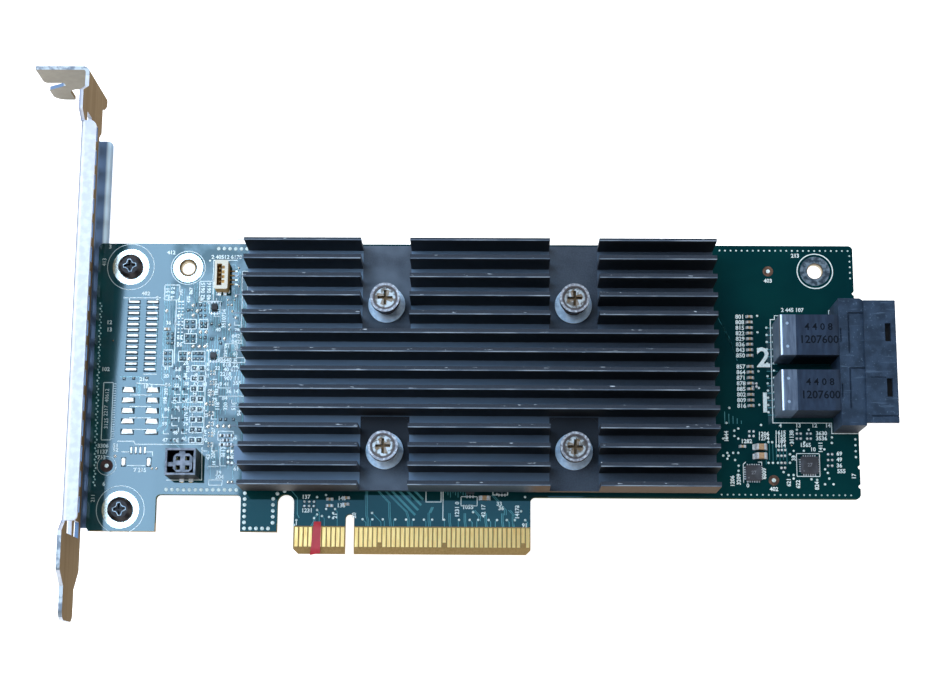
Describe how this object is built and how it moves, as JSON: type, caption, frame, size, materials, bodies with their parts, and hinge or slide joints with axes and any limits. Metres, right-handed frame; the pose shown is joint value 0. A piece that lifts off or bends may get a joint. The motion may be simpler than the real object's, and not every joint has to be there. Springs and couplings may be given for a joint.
{
  "type": "raid controller card",
  "caption": "Internal storage controller card with slot bracket, finned heat sink, twin cable receptacle and gold edge contacts.",
  "frame": {"origin": "middle of the key notch at the edge contacts' lower edge, on the component face of the board", "axes": "+X along the card away from the slot bracket, +Y up the bracket away from the edge contacts, +Z out of the component face"},
  "size_m": [0.188, 0.1218, 0.0252],
  "materials": {
    "solder_mask": "satin teal green solder mask",
    "contact_gold": "gold plated",
    "nickel_plated_steel": "nickel plated, lightly brushed",
    "black_screw": "black oxide",
    "black_anodised": "black anodised, sawn and milled",
    "plated_screw": "bright nickel plated",
    "spring_steel": "drawn wire",
    "washer_steel": "zinc plated",
    "retainer_steel": "tin plated",
    "chip_epoxy": "moulded epoxy",
    "thermal_pad": "soft filled silicone",
    "ferrite": "pressed ferrite",
    "shell_plastic": "moulded, fine spark texture",
    "port_plastic": "moulded, fine spark texture",
    "end_plate_steel": "dull plated",
    "cream_nylon": "moulded cream nylon",
    "tinned_contact": "tinned",
    "header_plastic": "moulded black",
    "capacitor_ceramic": "fired ceramic with tinned ends",
    "resistor_ceramic": "coated ceramic with tinned ends",
    "red_tape_film": "thin red film"
  },
  "bodies": {
    "root": {"circuit_board": "solder_mask", "edge_contacts_front": "contact_gold", "edge_contacts_back": "contact_gold", "bracket": "nickel_plated_steel", "bracket_screws": "black_screw", "heat_sink": "black_anodised", "heat_sink_screws": "plated_screw", "screw_springs": "spring_steel", "screw_washers": "washer_steel", "screw_retainers": "retainer_steel", "controller_chip": "chip_epoxy", "controller_thermal_pad": "thermal_pad", "memory_chips": "chip_epoxy", "memory_thermal_pads": "thermal_pad", "power_inductors": "ferrite", "receptacle_housing": "shell_plastic", "port_body_1": "port_plastic", "port_body_2": "port_plastic", "port_end_plate_1": "end_plate_steel", "port_end_plate_2": "end_plate_steel", "port_contacts": "contact_gold", "debug_header": "cream_nylon", "debug_header_contacts": "tinned_contact", "cable_header": "header_plastic", "cable_header_contacts": "tinned_contact", "small_ics": "chip_epoxy", "qfn_chips": "chip_epoxy", "bulk_capacitors": "capacitor_ceramic", "chip_capacitors": "capacitor_ceramic", "chip_resistors": "resistor_ceramic", "red_tape": "red_tape_film"}
  },
  "joints": []
}
